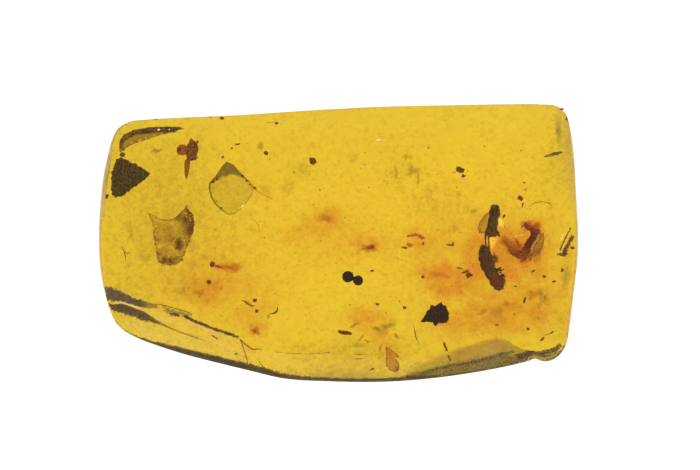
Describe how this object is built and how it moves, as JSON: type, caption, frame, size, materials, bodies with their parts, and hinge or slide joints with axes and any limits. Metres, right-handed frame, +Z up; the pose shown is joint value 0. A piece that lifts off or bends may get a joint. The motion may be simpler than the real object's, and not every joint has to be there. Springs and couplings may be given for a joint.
{
  "type": "insect in amber",
  "caption": "Polished piece of clear yellow amber with a dark insect, smaller insects and plant scraps sealed inside it, lying on its flat underside.",
  "frame": {"origin": "centre of the amber's outline, on its flat underside", "axes": "+X along the length, with the large insect near the +X end; +Y across the width, towards the straight long edge; +Z up through the thickness, out of the flat polished face"},
  "size_m": [0.0286, 0.0166, 0.007],
  "materials": {
    "amber": "polished",
    "insect_dark": "satin",
    "insect_red_brown": "satin",
    "insect_brown": "satin",
    "leaf": "matte",
    "pellet": "satin",
    "chunk": "matte",
    "flake_dark": "matte",
    "flake_orange": "matte"
  },
  "bodies": {
    "root": {"amber_lower": "amber", "amber_upper": "amber", "insect": "insect_dark", "curled_insect": "insect_red_brown", "small_fly": "insect_brown", "leaf_fragment": "leaf", "pellet_pair": "pellet", "dark_chunk": "chunk", "dark_flake": "flake_dark", "orange_flake": "flake_orange"}
  },
  "joints": []
}
